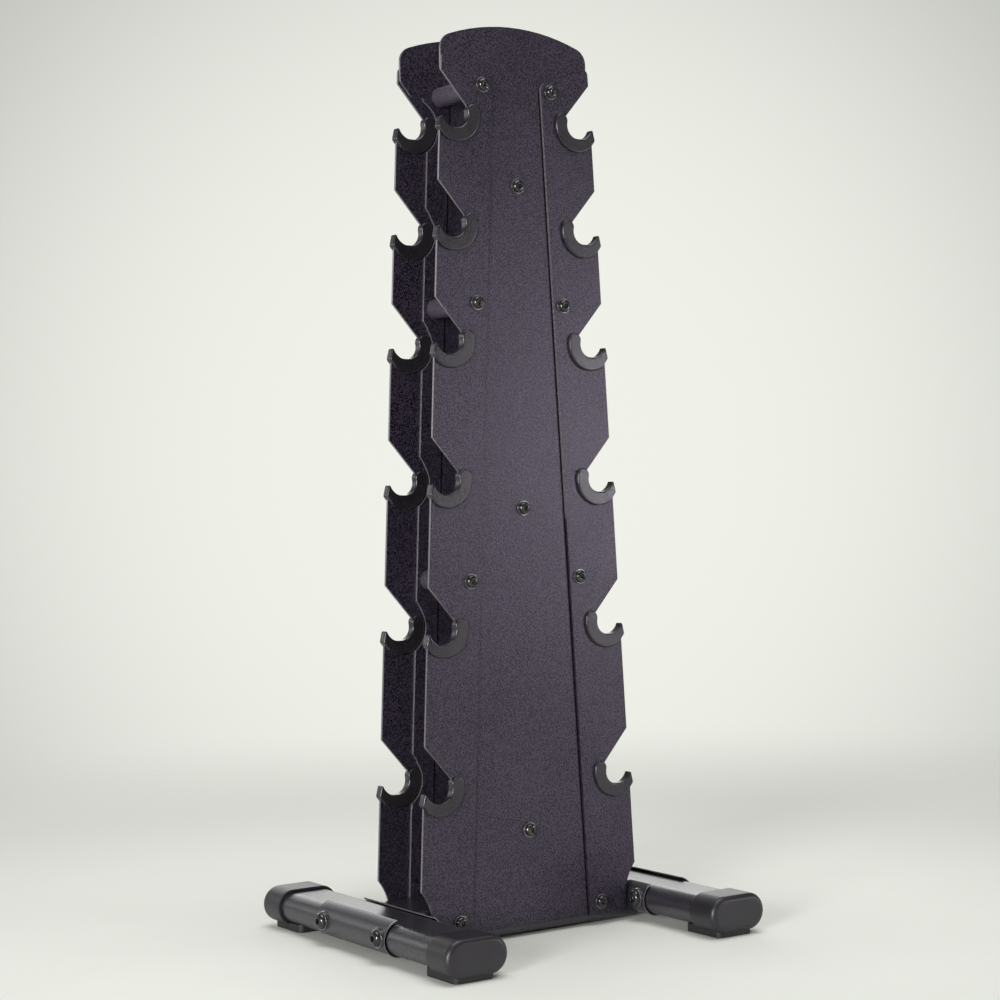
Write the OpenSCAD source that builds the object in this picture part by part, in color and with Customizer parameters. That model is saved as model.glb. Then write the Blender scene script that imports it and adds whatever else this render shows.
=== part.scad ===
// Two-sided upright dumbbell rack.
// Two flat sheet-metal frames stand back to back on spacer bars.  Each frame
// is a tapering centre panel with a notched hook strip bolted down either
// side, and every notch carries a moulded plastic cradle.  A box section at
// the base joins the frames to two oval floor tubes held in saddle brackets.
// +X is the right-hand side, -Y the front, +Z up; the origin is on the floor
// below the middle of the rack.

/* [Frame] */
// Thickness of the panel and strip sheet
sheet_t = 3; // [2:0.5:4]
// Clear distance between the front and rear centre panels
gap_y = 80; // [70:1:100]
// Width of each hook strip
strip_w = 66.5; // [64:0.5:70]
// Half width between the outer strip edges at floor level
edge_x = 146.7; // [144:0.1:150]
// Inward lean of the outer strip edge, per millimetre of height
edge_lean = 0.0509; // [0.048:0.0001:0.054]
// Height of the lower edge of panels and strips above the floor
base_z = 9.6; // [8:0.1:12]

/* [Cradles] */
// Thickness of a cradle, front to back
cradle_t = 10.2; // [8:0.1:12]
// Radius of the seat that holds the handle
seat_r = 14.3; // [13:0.1:15]
// Outer radius of the cradle
cradle_r = 29.8; // [28:0.1:31]

/* [Fasteners] */
// Diameter of the panel bolts
bolt_d = 8; // [6:1:8]
// Diameter of the foot bolts
foot_bolt_d = 10; // [8:1:10]
// Diameter of the spacer bars between the frames
spacer_d = 22; // [18:1:26]

/* [Feet] */
// Distance of each floor tube from the middle
foot_x = 171.2; // [168:0.1:176]
// Width of the floor tube section
tube_w = 68; // [66:0.5:70]
// Height of the floor tube section
tube_h = 33; // [32:0.5:34]
// Wall of the floor tubes and their brackets
wall = 1.2; // [1.2:0.1:1.6]
// Half length of the rack across the end caps
cap_y = 194.5; // [180:0.1:200]
// Length of an end cap
cap_l = 40.4; // [34:0.1:44]
// Half length of a foot bracket
sleeve_y = 72.3; // [69:0.1:80]
// Depth of rubber under the end caps
pad_t = 6.2; // [5:0.1:8]

/* [Hidden] */
$fn = 96;
// height of the lowest point of the handle seat, top level first
seats = [883.2, 764.7, 638, 486.5, 325.5, 155.5];
// heights of the strip bolts, bottom first, and of the centre bolts
strip_bolts = [23.8, 391.6, 694.5, 932.5];
centre_bolts = [114.3, 469.8, 825];
bolt_in = 53.6;                        // strip bolt line, from the outer edge
foot_bolt_y = 58;
foot_z = 22.8;                         // floor tube axis
foot_bolt_z = 24.6;
yp = gap_y / 2;                        // inner face of a centre panel
ys = yp + sheet_t;                     // inner face of a strip
yf = ys + sheet_t;                     // outer face of a strip
seat_in = 20.2;                        // seat centre, from the outer edge
beam_z0 = 1;
beam_z1 = 41;
beam_r = 5;
// the bracket hugs the underside of the tube and its arms open out above it
saddle_r = tube_h / 2 + 0.1;
saddle_w = tube_w + 0.2;
arm_r = saddle_r + 3.4;
bracket_w = saddle_w + 2 * wall;
arm_out = 19.4;                        // ends of the outer and inner arms,
arm_in = 25.5;                         // from the middle of the tube
cap_w = tube_w + 7;
cap_h = tube_h + 7;
cap_edge = 6;
cap_floor = 3.5;                       // flat under each cap
// the outlines are drawn from a datum this far above the floor
datum = pad_t - cap_floor;
steel = [0.10, 0.095, 0.11];
plastic = [0.07, 0.07, 0.075];
fastener = [0.05, 0.05, 0.055];

// outer edge line of a strip, and a point given by its inset from that line
function xo(z) = edge_x - edge_lean * z;
function ep(e, z) = [xo(z) - e, z];
// centre of the seat at level k
function seat_c(k) = [xo(seats[k] + seat_r) - seat_in, seats[k] + seat_r];
// the lowest bolt stands a little further out, beside the foot bracket
function strip_bolt_x(z) = xo(z) - bolt_in + (z < 100 ? 3.2 : 0);

// ---------- helpers ----------
// stand a flat outline (x, z) up as a plate from y to y + t
module plate(y, t)
    translate([0, y + t, 0]) rotate([90, 0, 0]) linear_extrude(t) children();

// place a front-right piece at any of the four corners:
// fr = as drawn, fl = mirrored, rl and rr = those two turned half round
module corner(front, right) {
    rotate([0, 0, front ? 0 : 180])
        mirror([(front == right) ? 0 : 1, 0, 0]) children();
}

module obround(w, h)
    union() {
        square([w - h, h], center = true);
        for (s = [-1, 1]) translate([s * (w - h) / 2, 0]) circle(d = h);
    }

// an obround bar along Y, centred on y = 0
module oval_bar(w, h, l)
    translate([0, l / 2, 0]) rotate([90, 0, 0]) linear_extrude(l) obround(w, h);

// ---------- hook strips ----------
// opening cut from the steel at a seat, around the seat and out to the edge
module strip_notch(k) {
    s = seats[k];
    translate(seat_c(k)) circle(r = seat_r + 2.5);
    polygon([ep(-12, s + 74.1), ep(34, s + 24.7), ep(36.6, s + 18), ep(36.6, s + 13),
             ep(20, s - 2.4), ep(10, s - 2.4), ep(6, s - 0.4), ep(2.6, s + 2.6),
             ep(1, s + 4), ep(-12, s + 4)]);
}

// hole in the steel that the cradle is moulded through
function peg_c(k) = seat_c(k) + [-15.6, -15.6];

module strip_outline() {
    b1 = [strip_bolt_x(strip_bolts[3]), strip_bolts[3]];
    difference() {
        union() {
            polygon([ep(strip_w, base_z), ep(0, base_z), ep(0, 954), [xo(958) - 0.4, 958.4],
                     [xo(960) - 1.6, 960.8], [94.2, 961.4], [b1[0] - 3.8, b1[1] + 12.3],
                     [b1[0] - (strip_w - bolt_in), b1[1]]]);
            translate(b1) circle(r = (strip_w - bolt_in) * cos(atan(edge_lean)));
        }
        // swept clearance around the foot bracket
        translate([189, 23.5]) circle(r = 60);
        translate([129, -5]) square([40, 30]);
        for (k = [0:5]) strip_notch(k);
        for (k = [0:5]) translate(peg_c(k)) circle(d = 6);
        for (z = strip_bolts) translate([strip_bolt_x(z), z]) circle(d = bolt_d + 1);
    }
}

module strip(front, right)
    color(steel) corner(front, right) plate(-yf, sheet_t) strip_outline();

// ---------- cradles ----------
// outline about the seat: u runs outwards from the strip edge line at the
// height of the seat centre, v upwards from the lowest point of the seat
module cradle_outline() {
    c = [-seat_in, seat_r];
    mid = (seat_r + cradle_r) / 2;
    difference() {
        union() {
            // ring under and inside the seat, up to its rounded inner end
            intersection() {
                translate(c) circle(r = cradle_r);
                polygon([c, c + 70 * [-cos(12.3), sin(12.3)], [-70, -40], [-2, -40],
                         [-2, -8], [0, -4], [-9, 0]]);
            }
            translate(c + mid * [-cos(12.3), sin(12.3)]) circle(r = (cradle_r - seat_r) / 2);
            // outer lip
            polygon([[3.5, 0.2], [2.2, 5], [1, 9.6], [0.4, 10.7], [-0.6, 11.1], [-1.4, 10.8],
                     [-1.9, 10], [-3, 7.6], [-5.6, 4.6], [-9, 1.9], [-13.5, -0.1], [-13.5, -12],
                     [-2.8, -9.8], [-2, -8], [3, -1.8], [3.5, -0.8]]);
        }
        translate(c) circle(r = seat_r);
        // flat floor of the seat, easing out to the lip
        polygon([[-20.2, 20], [-20.2, 0], [-13.5, -0.1], [-9, 1.9], [-5.6, 4.6], [-3, 7.6],
                 [-1.9, 10], [-1.4, 20]]);
    }
}

module cradle(front, right, k)
    color(plastic) corner(front, right) difference() {
        plate(-yf + sheet_t / 2 - cradle_t / 2, cradle_t)
            translate([xo(seats[k] + seat_r), seats[k]]) cradle_outline();
        plate(-yf, sheet_t) strip_outline();
    }

// ---------- centre panels ----------
module panel_outline() {
    arch_r = 255;
    hw = 97.3;
    a = asin((hw - 18) / (arch_r - 18));
    // centre of a rounded shoulder, where its circle meets the side and the arch
    sh = [hw - 18, 1000 - arch_r + (arch_r - 18) * cos(a)];
    half = [[61, 915], [68.5, 930], [81, 930.2], [84.5, 932], [96.5, 945.6], [hw, 947.5],
            [hw, sh[1]], sh, sh + 17 * [sin(a), cos(a)]];
    difference() {
        union() {
            polygon([[-xo(base_z) + 39.6, base_z], [xo(base_z) - 39.6, base_z],
                     ep(39, 120), ep(39, 925), [-xo(925) + 39, 925], [-xo(120) + 39, 120]]);
            // arched head with rounded shoulders
            polygon([for (p = half) p, for (i = [len(half) - 1 : -1 : 0]) [-half[i][0], half[i][1]]]);
            intersection() {
                translate([0, 1000 - arch_r]) circle(r = arch_r, $fn = 240);
                polygon([sh + [-10, 0], sh, sh + 40 * [sin(a), cos(a)],
                         [-sh[0], sh[1]] + 40 * [-sin(a), cos(a)], [-sh[0], sh[1]],
                         [-sh[0] + 10, sh[1]]]);
            }
            for (s = [-1, 1]) translate([s * sh[0], sh[1]]) circle(r = 18);
        }
        // room for each cradle, with a short flat above it
        for (k = [0:5]) for (s = [-1, 1]) mirror([(1 - s) / 2, 0]) {
            translate(seat_c(k)) circle(r = cradle_r + 2.2);
            if (k > 0)
                polygon([ep(36, seats[k] + 44), ep(40, seats[k] + 41.8),
                         ep(45.5, seats[k] + 33.8), ep(40, seats[k] + 30),
                         ep(36, seats[k] + 38)]);
        }
        for (z = strip_bolts) for (s = [-1, 1])
            translate([s * strip_bolt_x(z), z]) circle(d = bolt_d + 1);
        for (z = centre_bolts) translate([0, z]) circle(d = bolt_d + 1);
    }
}

module front_centre_panel()
    color(steel) plate(-ys, sheet_t) panel_outline();
module rear_centre_panel()
    color(steel) rotate([0, 0, 180]) plate(-ys, sheet_t) panel_outline();

// ---------- spacers ----------
module spacer(x, z)
    color(steel) translate([x, yp, z]) rotate([90, 0, 0]) difference() {
        cylinder(d = spacer_d, h = gap_y);
        translate([0, 0, -1]) cylinder(d = bolt_d, h = gap_y + 2);
    }

// ---------- base ----------
module beam_section(d)
    union() {
        square([gap_y - 2 * d, beam_z1 - beam_z0 - 2 * beam_r], center = true);
        square([gap_y - 2 * beam_r, beam_z1 - beam_z0 - 2 * d], center = true);
        for (i = [-1, 1]) for (j = [-1, 1])
            translate([i * (gap_y / 2 - beam_r), j * ((beam_z1 - beam_z0) / 2 - beam_r)])
                circle(r = beam_r - d);
    }

module base_crossmember()
    color(steel) difference() {
        translate([-152, 0, (beam_z0 + beam_z1) / 2]) rotate([90, 0, 90])
            linear_extrude(304) difference() {
                beam_section(0);
                beam_section(2);
            }
        for (s = [-1, 1]) {
            translate([s * foot_x, 0, foot_z]) saddle_bar(wall, gap_y + 10);
            for (f = [-1, 1])
                translate([s * strip_bolt_x(strip_bolts[0]), f * (yp - 1), strip_bolts[0]])
                    rotate([90, 0, 0]) cylinder(d = bolt_d + 1, h = 8, center = true);
        }
    }

module crossmember_nuts()
    color(fastener) for (s = [-1, 1]) for (f = [-1, 1])
        translate([s * strip_bolt_x(strip_bolts[0]), f * (yp - 2), strip_bolts[0]])
            rotate([f * 90, 0, 0]) difference() {
                rotate([0, 0, 30]) cylinder(d = 15, h = 6.5, $fn = 6);
                translate([0, 0, -1]) cylinder(d = bolt_d, h = 9);
            }

// closed outline of the bracket, t outside the face that meets the tube:
// the lower half follows the tube, the upper half has a larger radius
module saddle(t)
    union() {
        intersection() {
            obround(saddle_w + 2 * t, 2 * (saddle_r + t));
            translate([-60, -60]) square([120, 60]);
        }
        intersection() {
            obround(saddle_w + 2 * t, 2 * (arm_r + t));
            translate([-60, 0]) square([120, 60]);
        }
    }

module saddle_bar(t, l)
    translate([0, l / 2, 0]) rotate([90, 0, 0]) linear_extrude(l) saddle(t);

module foot_holes(d)
    for (f = [-1, 1])
        translate([0, f * foot_bolt_y, foot_bolt_z]) rotate([0, 90, 0])
            cylinder(d = d, h = 120, center = true);

// saddle bracket, open along the top between its two arms
module foot_bracket(s)
    color(steel) difference() {
        translate([s * foot_x, 0, foot_z]) difference() {
            saddle_bar(wall, 2 * sleeve_y);
            saddle_bar(0, 2 * sleeve_y + 2);
            translate([s > 0 ? -arm_in : -arm_out, -sleeve_y - 1, 0])
                cube([arm_in + arm_out, 2 * sleeve_y + 2, 60]);
        }
        translate([s * foot_x, 0, 0]) foot_holes(foot_bolt_d + 0.6);
    }

module foot_tube(s)
    color(steel) difference() {
        translate([s * foot_x, 0, foot_z]) difference() {
            oval_bar(tube_w, tube_h, 2 * (cap_y - 6));
            oval_bar(tube_w - 2 * wall, tube_h - 2 * wall, 2 * cap_y);
            for (f = [-1, 1]) translate([0, f * (cap_y - 20), -tube_h]) cylinder(d = 8, h = tube_h);
        }
        translate([s * foot_x, 0, 0]) foot_holes(foot_bolt_d + 0.6);
    }

// ---------- end caps and pads ----------
// outer shape of the front cap: an oval cup with a rounded front edge
module cap_body() {
    r = cap_h / 2;
    w = cap_w - cap_h;
    for (s = [-1, 1]) translate([s * w / 2, 0, 0]) rotate([90, 0, 0])
        rotate_extrude() union() {
            square([r, cap_l - cap_edge]);
            square([r - cap_edge, cap_l]);
            intersection() {
                translate([r - cap_edge, cap_l - cap_edge]) circle(r = cap_edge);
                square([r, cap_l]);
            }
        }
    rotate([90, 0, 90]) translate([0, 0, -w / 2]) linear_extrude(w) union() {
        translate([-(cap_l - cap_edge), -r]) square([cap_l - cap_edge, 2 * r]);
        translate([-cap_l, -r + cap_edge]) square([cap_l, 2 * (r - cap_edge)]);
        for (j = [-1, 1])
            translate([-(cap_l - cap_edge), j * (r - cap_edge)]) circle(r = cap_edge);
    }
}

module cap_front()
    difference() {
        translate([foot_x, -(cap_y - cap_l), foot_z]) cap_body();
        translate([foot_x, -(cap_y - 4 - 50), foot_z]) oval_bar(tube_w + 0.2, tube_h + 0.2, 100);
        translate([foot_x - 50, -(cap_y + 5), cap_floor - 20]) cube([100, cap_l + 10, 20]);
        translate([foot_x, -(cap_y - 20), -1]) cylinder(d = 8, h = foot_z);
    }

module end_cap(front, right)
    color(plastic) corner(front, right) cap_front();

module pad_front() {
    hx = 24.6;
    y0 = -(cap_y - 5.6);
    y1 = -(cap_y - 63.8);
    difference() {
        union() {
            translate([foot_x, 0, -datum]) linear_extrude(cap_floor + 2.9 + datum) union() {
                translate([-hx, y0 + 8]) square([2 * hx, y1 - y0 - 16]);
                translate([-hx + 8, y0]) square([2 * hx - 16, y1 - y0]);
                for (i = [-1, 1]) for (y = [y0 + 8, y1 - 8])
                    translate([i * (hx - 8), y]) circle(r = 8);
            }
            translate([foot_x, -(cap_y - 20), 0]) cylinder(d = 8, h = 12);
        }
        difference() {
            translate([foot_x, -(cap_y - cap_l), foot_z]) cap_body();
            translate([foot_x - 50, -(cap_y + 5), cap_floor - 20]) cube([100, cap_l + 10, 20]);
            translate([foot_x, -(cap_y - 20), -1]) cylinder(d = 8, h = 30);
        }
        translate([foot_x, -(cap_y - cap_l - 30 + 0.01), foot_z]) oval_bar(tube_w, tube_h, 60);
        // grip grooves underneath
        for (y = [y0 + 12 : 8.5 : y1 - 8])
            translate([foot_x - hx + 6, y, -datum - 1]) cube([2 * hx - 12, 2.5, 2]);
    }
}

module foot_pad(front, right)
    color(plastic) corner(front, right) pad_front();

// ---------- fasteners ----------
// button head with a hex socket, seat at z = 0, head towards +z
module button_head(d, h, sock) {
    r = d / 2;
    ball = (r * r + h * h) / (2 * h) + 0.6;
    difference() {
        intersection() {
            cylinder(d = d, h = h);
            translate([0, 0, h - ball]) sphere(r = ball);
        }
        translate([0, 0, h * 0.42]) cylinder(d = sock / cos(30), h = h, $fn = 6);
    }
}

module bolt(d, l, head_d, head_h, sock)
    union() {
        button_head(head_d, head_h, sock);
        translate([0, 0, -l]) cylinder(d = d, h = l + 0.3);
    }

module ring(d, bore, t)
    difference() {
        cylinder(d = d, h = t);
        translate([0, 0, -1]) cylinder(d = bore, h = t + 2);
    }

// every panel bolt position: x, z and the face it seats on
function panel_spots() = concat(
    [for (z = strip_bolts) for (s = [-1, 1]) [s * strip_bolt_x(z), z, yf]],
    [for (z = centre_bolts) [0, z, ys]]);

module panel_bolts()
    color(fastener) for (h = [0, 180]) rotate([0, 0, h]) for (p = panel_spots())
        translate([p[0], -p[2] - 1.6, p[1]]) rotate([90, 0, 0])
            bolt(bolt_d, 20, 14, 4.4, 5);

module panel_washers()
    color(fastener) for (h = [0, 180]) rotate([0, 0, h]) for (p = panel_spots())
        translate([p[0], -p[2], p[1]]) rotate([90, 0, 0]) ring(17, bolt_d + 0.4, 1.6);

// foot fasteners enter each bracket from both sides
module at_foot_bolts()
    for (x = [-1, 1]) for (side = [-1, 1]) for (f = [-1, 1])
        translate([x * foot_x, f * foot_bolt_y, foot_bolt_z]) rotate([0, side * 90, 0]) children();

module foot_bolts()
    color(fastener) at_foot_bolts() translate([0, 0, bracket_w / 2 + 2])
        bolt(foot_bolt_d, 16, 17.5, 5.4, 6);

// saddle washer: flat outside, hollowed to the round side of the bracket
module foot_washers()
    color(fastener) difference() {
        at_foot_bolts() translate([0, 0, bracket_w / 2 - 3]) ring(21.5, foot_bolt_d + 0.6, 5);
        for (x = [-1, 1]) translate([x * foot_x, 0, foot_z]) saddle_bar(wall, 200);
    }

// weld nuts inside the foot tube
module foot_nuts()
    color(fastener) difference() {
        intersection() {
            at_foot_bolts() translate([0, 0, tube_w / 2 - wall - 9.5]) rotate([0, 0, 30])
                cylinder(d = 18.5, h = 8, $fn = 6);
            for (x = [-1, 1]) translate([x * foot_x, 0, foot_z])
                oval_bar(tube_w - 2 * wall, tube_h - 2 * wall, 200);
        }
        at_foot_bolts() cylinder(d = foot_bolt_d, h = 60);
    }

// ---------- nodes ----------
module above_floor() translate([0, 0, datum]) children();

above_floor() front_centre_panel();
above_floor() rear_centre_panel();
above_floor() strip(true, false);  // front_left_strip
above_floor() strip(true, true);  // front_right_strip
above_floor() strip(false, false);  // rear_left_strip
above_floor() strip(false, true);  // rear_right_strip
above_floor() cradle(true, false, 0);  // cradle_front_left_1
above_floor() cradle(true, false, 1);  // cradle_front_left_2
above_floor() cradle(true, false, 2);  // cradle_front_left_3
above_floor() cradle(true, false, 3);  // cradle_front_left_4
above_floor() cradle(true, false, 4);  // cradle_front_left_5
above_floor() cradle(true, false, 5);  // cradle_front_left_6
above_floor() cradle(true, true, 0);  // cradle_front_right_1
above_floor() cradle(true, true, 1);  // cradle_front_right_2
above_floor() cradle(true, true, 2);  // cradle_front_right_3
above_floor() cradle(true, true, 3);  // cradle_front_right_4
above_floor() cradle(true, true, 4);  // cradle_front_right_5
above_floor() cradle(true, true, 5);  // cradle_front_right_6
above_floor() cradle(false, false, 0);  // cradle_rear_left_1
above_floor() cradle(false, false, 1);  // cradle_rear_left_2
above_floor() cradle(false, false, 2);  // cradle_rear_left_3
above_floor() cradle(false, false, 3);  // cradle_rear_left_4
above_floor() cradle(false, false, 4);  // cradle_rear_left_5
above_floor() cradle(false, false, 5);  // cradle_rear_left_6
above_floor() cradle(false, true, 0);  // cradle_rear_right_1
above_floor() cradle(false, true, 1);  // cradle_rear_right_2
above_floor() cradle(false, true, 2);  // cradle_rear_right_3
above_floor() cradle(false, true, 3);  // cradle_rear_right_4
above_floor() cradle(false, true, 4);  // cradle_rear_right_5
above_floor() cradle(false, true, 5);  // cradle_rear_right_6
above_floor() spacer(-strip_bolt_x(strip_bolts[3]), strip_bolts[3]);  // spacer_left_top
above_floor() spacer(-strip_bolt_x(strip_bolts[2]), strip_bolts[2]);  // spacer_left_middle
above_floor() spacer(-strip_bolt_x(strip_bolts[1]), strip_bolts[1]);  // spacer_left_bottom
above_floor() spacer(strip_bolt_x(strip_bolts[3]), strip_bolts[3]);  // spacer_right_top
above_floor() spacer(strip_bolt_x(strip_bolts[2]), strip_bolts[2]);  // spacer_right_middle
above_floor() spacer(strip_bolt_x(strip_bolts[1]), strip_bolts[1]);  // spacer_right_bottom
above_floor() spacer(0, centre_bolts[2]);  // spacer_centre_top
above_floor() spacer(0, centre_bolts[1]);  // spacer_centre_middle
above_floor() spacer(0, centre_bolts[0]);  // spacer_centre_bottom
above_floor() base_crossmember();
above_floor() crossmember_nuts();
above_floor() foot_bracket(-1);  // left_foot_bracket
above_floor() foot_bracket(1);  // right_foot_bracket
above_floor() foot_tube(-1);  // left_foot_tube
above_floor() foot_tube(1);  // right_foot_tube
above_floor() end_cap(true, false);  // end_cap_front_left
above_floor() end_cap(true, true);  // end_cap_front_right
above_floor() end_cap(false, false);  // end_cap_rear_left
above_floor() end_cap(false, true);  // end_cap_rear_right
above_floor() foot_pad(true, false);  // foot_pad_front_left
above_floor() foot_pad(true, true);  // foot_pad_front_right
above_floor() foot_pad(false, false);  // foot_pad_rear_left
above_floor() foot_pad(false, true);  // foot_pad_rear_right
above_floor() panel_bolts();
above_floor() panel_washers();
above_floor() foot_bolts();
above_floor() foot_washers();
above_floor() foot_nuts();
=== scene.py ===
import bpy
import bmesh
import math
from mathutils import Matrix, Vector


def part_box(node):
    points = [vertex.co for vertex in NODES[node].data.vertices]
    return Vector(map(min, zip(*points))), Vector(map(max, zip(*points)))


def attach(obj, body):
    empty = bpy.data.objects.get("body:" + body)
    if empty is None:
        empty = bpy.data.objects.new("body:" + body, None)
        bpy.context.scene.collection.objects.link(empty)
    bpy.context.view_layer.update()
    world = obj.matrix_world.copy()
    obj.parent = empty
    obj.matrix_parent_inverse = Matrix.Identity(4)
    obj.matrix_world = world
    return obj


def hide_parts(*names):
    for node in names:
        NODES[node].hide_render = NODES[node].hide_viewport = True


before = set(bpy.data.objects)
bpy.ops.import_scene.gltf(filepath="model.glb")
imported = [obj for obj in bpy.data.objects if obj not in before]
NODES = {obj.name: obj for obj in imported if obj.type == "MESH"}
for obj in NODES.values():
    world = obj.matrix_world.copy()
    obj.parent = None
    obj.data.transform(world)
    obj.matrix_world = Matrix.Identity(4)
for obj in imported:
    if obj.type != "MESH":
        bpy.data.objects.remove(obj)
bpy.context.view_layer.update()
MM = 0.001

# ---------------------------------------------------------------- camera
cam_data = bpy.data.cameras.new("camera")
cam_data.sensor_width = 36.0
cam_data.lens = 75.2
cam_data.clip_start = 0.05
cam_data.clip_end = 200.0
cam = bpy.data.objects.new("camera", cam_data)
bpy.context.scene.collection.objects.link(cam)
yaw, pitch, roll = math.radians(34.357), math.radians(0.069), math.radians(-1.1108)
fwd = Vector((math.sin(yaw) * math.cos(pitch), math.cos(yaw) * math.cos(pitch), -math.sin(pitch)))
right0 = Vector((math.cos(yaw), -math.sin(yaw), 0.0))
up0 = right0.cross(fwd)
right1 = math.cos(roll) * right0 + math.sin(roll) * up0
up1 = -math.sin(roll) * right0 + math.cos(roll) * up0
cam.matrix_world = Matrix((
    (right1.x, up1.x, -fwd.x, -1.3236),
    (right1.y, up1.y, -fwd.y, -1.9340),
    (right1.z, up1.z, -fwd.z, 0.4846),
    (0, 0, 0, 1)))
bpy.context.scene.camera = cam
bpy.context.scene.view_settings.view_transform = "Standard"
bpy.context.scene.view_settings.look = "None"


# ---------------------------------------------------------------- node helpers
def new_material(name):
    m = bpy.data.materials.new(name)
    m.use_nodes = True
    nt = m.node_tree
    nt.nodes.clear()
    out = nt.nodes.new("ShaderNodeOutputMaterial")
    sh = nt.nodes.new("ShaderNodeBsdfPrincipled")
    nt.links.new(sh.outputs[0], out.inputs["Surface"])
    return m, nt, sh


def coords(nt):
    """Object coordinates, turned so that no flat face lies along the planes of a noise lattice."""
    mp = nt.nodes.new("ShaderNodeMapping")
    mp.inputs["Rotation"].default_value = (0.61, 0.47, 0.83)
    nt.links.new(nt.nodes.new("ShaderNodeTexCoord").outputs["Object"], mp.inputs["Vector"])
    return mp.outputs[0]


def noise(nt, vec, scale, detail=2.0, rough=0.5, stretch=None):
    if stretch:
        mp = nt.nodes.new("ShaderNodeMapping")
        mp.inputs["Scale"].default_value = stretch
        nt.links.new(vec, mp.inputs["Vector"])
        vec = mp.outputs[0]
    n = nt.nodes.new("ShaderNodeTexNoise")
    n.inputs["Scale"].default_value = scale
    n.inputs["Detail"].default_value = detail
    n.inputs["Roughness"].default_value = rough
    nt.links.new(vec, n.inputs["Vector"])
    return n.outputs["Fac"]


def ramp(nt, fac, stops):
    r = nt.nodes.new("ShaderNodeValToRGB")
    el = r.color_ramp.elements
    while len(el) < len(stops):
        el.new(0.5)
    for e, (p, c) in zip(el, stops):
        e.position = p
        e.color = (*c, 1.0) if len(c) == 3 else c
    nt.links.new(fac, r.inputs["Fac"])
    return r.outputs["Color"]


def remap(nt, fac, a, b, lo, hi, kind="LINEAR"):
    r = nt.nodes.new("ShaderNodeMapRange")
    r.interpolation_type = kind
    r.inputs["From Min"].default_value = a
    r.inputs["From Max"].default_value = b
    r.inputs["To Min"].default_value = lo
    r.inputs["To Max"].default_value = hi
    nt.links.new(fac, r.inputs["Value"])
    return r.outputs["Result"]


def math_node(nt, op, a, b):
    n = nt.nodes.new("ShaderNodeMath")
    n.operation = op
    for i, v in enumerate((a, b)):
        if isinstance(v, (int, float)):
            n.inputs[i].default_value = v
        else:
            nt.links.new(v, n.inputs[i])
    return n.outputs[0]


def mix_color(nt, fac, a, b, mode="MIX"):
    n = nt.nodes.new("ShaderNodeMix")
    n.data_type = "RGBA"
    n.blend_type = mode
    if isinstance(fac, (int, float)):
        n.inputs["Factor"].default_value = fac
    else:
        nt.links.new(fac, n.inputs["Factor"])
    for sock, v in ((n.inputs[6], a), (n.inputs[7], b)):
        if isinstance(v, tuple):
            sock.default_value = (*v, 1.0)
        else:
            nt.links.new(v, sock)
    return n.outputs[2]


def bump(nt, height, strength, distance, under=None):
    b = nt.nodes.new("ShaderNodeBump")
    b.inputs["Strength"].default_value = strength
    b.inputs["Distance"].default_value = distance
    nt.links.new(height, b.inputs["Height"])
    if under is not None:
        nt.links.new(under, b.inputs["Normal"])
    return b.outputs["Normal"]


def coat(name, dark, light, rough, grain=850.0, spec=0.5, tint=(1, 1, 1), peel=0.16, fine=0.2, spread=0.10):
    """A satin fine-texture powder coat: a peppery grain over a slight orange peel. spread is how far the grain
    strays from its mean before it reaches the darkest and lightest colour."""
    m, nt, sh = new_material(name)
    c = coords(nt)
    g = noise(nt, c, grain, 2.0, 0.6)
    o = noise(nt, c, 330.0, 3.0, 0.55)
    big = noise(nt, c, 7.0, 5.0, 0.6)
    level = math_node(nt, "ADD", g, remap(nt, big, 0.3, 0.7, -0.012, 0.012))
    col = ramp(nt, level, [(0.5 - spread, dark), (0.5 + spread, light)])
    nt.links.new(col, sh.inputs["Base Color"])
    r = math_node(nt, "ADD", remap(nt, big, 0.3, 0.7, rough - 0.03, rough + 0.03),
                  remap(nt, o, 0.3, 0.7, -0.025, 0.025))
    nt.links.new(r, sh.inputs["Roughness"])
    n1 = bump(nt, o, peel, 0.00025)
    n2 = bump(nt, g, fine, 0.00020, n1)
    nt.links.new(n2, sh.inputs["Normal"])
    sh.inputs["Specular IOR Level"].default_value = spec
    sh.inputs["Specular Tint"].default_value = (*tint, 1.0)
    return m


def moulded(name, dark, light, rough, grain, depth, spec=0.5, scuff=0.0, tint=(1, 1, 1)):
    """Spark-textured moulded plastic."""
    m, nt, sh = new_material(name)
    c = coords(nt)
    v = nt.nodes.new("ShaderNodeTexVoronoi")
    v.inputs["Scale"].default_value = grain
    nt.links.new(c, v.inputs["Vector"])
    g = noise(nt, c, grain * 1.7, 2.0, 0.6)
    big = noise(nt, c, 22.0, 4.0, 0.6)
    h = math_node(nt, "ADD", math_node(nt, "MULTIPLY", v.outputs["Distance"], 0.6), math_node(nt, "MULTIPLY", g, 0.6))
    col = ramp(nt, math_node(nt, "ADD", math_node(nt, "MULTIPLY", g, 0.7), math_node(nt, "MULTIPLY", big, 0.3)),
               [(0.40, dark), (0.60, light)])
    if scuff > 0:
        s = noise(nt, c, 55.0, 5.0, 0.75, stretch=(1.0, 0.15, 1.6))
        col = mix_color(nt, remap(nt, s, 0.60, 0.75, 0.0, scuff), col, tuple(min(1.0, 2.2 * x) for x in light))
    nt.links.new(col, sh.inputs["Base Color"])
    nt.links.new(remap(nt, big, 0.3, 0.7, rough - 0.04, rough + 0.04), sh.inputs["Roughness"])
    nt.links.new(bump(nt, h, depth, 0.00025), sh.inputs["Normal"])
    sh.inputs["Specular IOR Level"].default_value = spec
    sh.inputs["Specular Tint"].default_value = (*tint, 1.0)
    return m


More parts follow.
